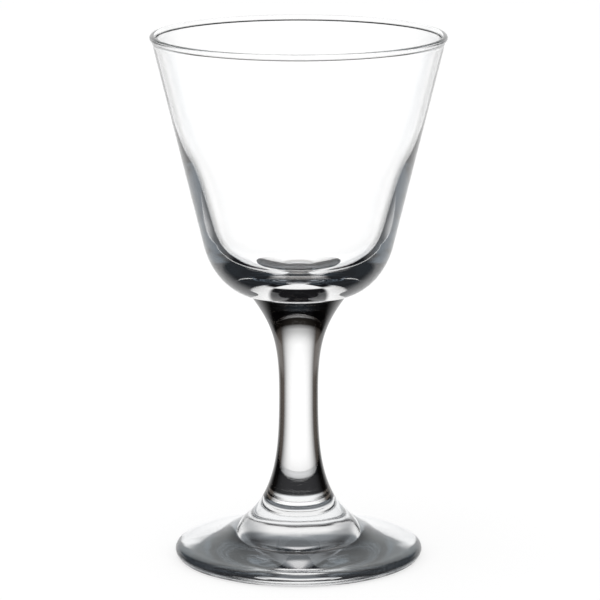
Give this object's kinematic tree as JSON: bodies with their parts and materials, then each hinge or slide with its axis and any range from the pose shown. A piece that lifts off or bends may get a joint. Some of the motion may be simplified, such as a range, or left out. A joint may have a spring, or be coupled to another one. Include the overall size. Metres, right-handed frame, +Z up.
{
  "type": "cocktail glass",
  "caption": "Clear stemmed cocktail glass with a flaring conical bowl, a rolled rim bead, a waisted solid stem and a round foot, for serving short drinks.",
  "frame": {"origin": "centre of the foot's underside, on the surface that the glass stands on", "axes": "+Z up along the turning axis, from the foot to the rim; X and Y are any two level directions"},
  "size_m": [0.072, 0.072, 0.13],
  "materials": {
    "bowl": "clear, fire-polished",
    "stem": "clear, fire-polished",
    "foot": "clear, fire-polished"
  },
  "bodies": {
    "root": {"bowl": "bowl", "stem": "stem", "foot": "foot"}
  },
  "joints": []
}
